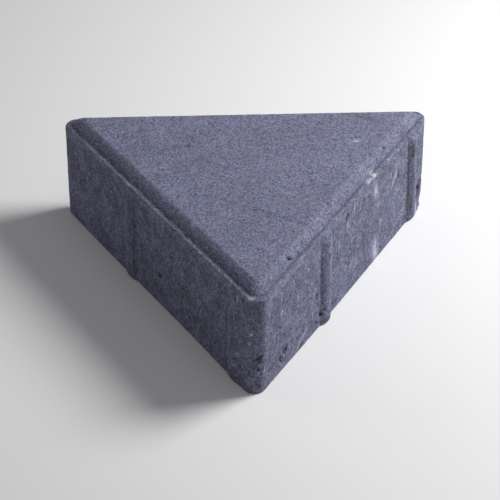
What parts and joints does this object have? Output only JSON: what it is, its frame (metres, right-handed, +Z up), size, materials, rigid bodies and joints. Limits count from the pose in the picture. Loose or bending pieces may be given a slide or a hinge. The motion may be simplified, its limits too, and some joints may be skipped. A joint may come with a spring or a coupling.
{
  "type": "concrete paving block",
  "caption": "Triangular concrete paving block with a rounded top edge, a narrow ledge below it and spacer ribs on its sides; lies flat in a paved surface.",
  "frame": {"origin": "centre of the triangular plan on the underside, where the block beds", "axes": "+Z up, square to the top face; one side faces +Y and the corner opposite it points to -Y"},
  "size_m": [0.1912, 0.1692, 0.06],
  "materials": {
    "concrete": "dark blue-grey pressed concrete, matt, fine sandy top face, drawn sides with fine streaks, pores and lime marks"
  },
  "bodies": {
    "root": {"paving_block": "concrete"}
  },
  "joints": []
}
